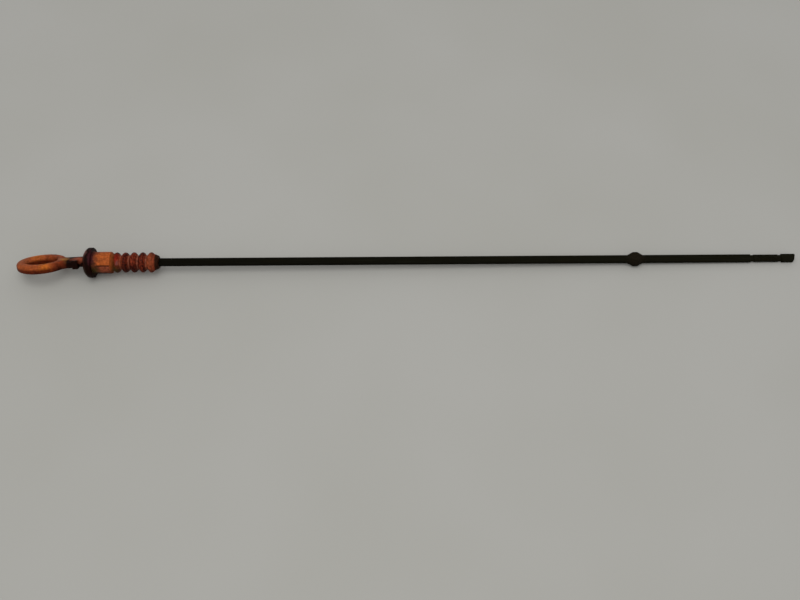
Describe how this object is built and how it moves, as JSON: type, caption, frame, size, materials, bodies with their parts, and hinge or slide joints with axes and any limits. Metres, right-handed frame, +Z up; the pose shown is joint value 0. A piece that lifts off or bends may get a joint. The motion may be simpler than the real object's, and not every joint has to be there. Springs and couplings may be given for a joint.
{
  "type": "engine oil dipstick",
  "caption": "Engine oil dipstick: moulded finger-ring handle with flange and ribbed sealing plug on a long flat rod with a guide olive and a hatched measuring tip.",
  "frame": {"origin": "on the floor under the middle of the part, as it lies at rest", "axes": "+X along the stick towards the measuring tip, +Z up; the stick slopes down by about one degree from the flange to the olive"},
  "size_m": [0.6195, 0.0271, 0.024],
  "materials": {
    "handle_plastic": "moulded orange plastic, worn, with oily grime on the neck, flange, ribs and collar",
    "rod_plastic": "moulded black glass-filled plastic with a thin oil film"
  },
  "bodies": {
    "root": {"handle": "handle_plastic", "rod": "rod_plastic"}
  },
  "joints": []
}
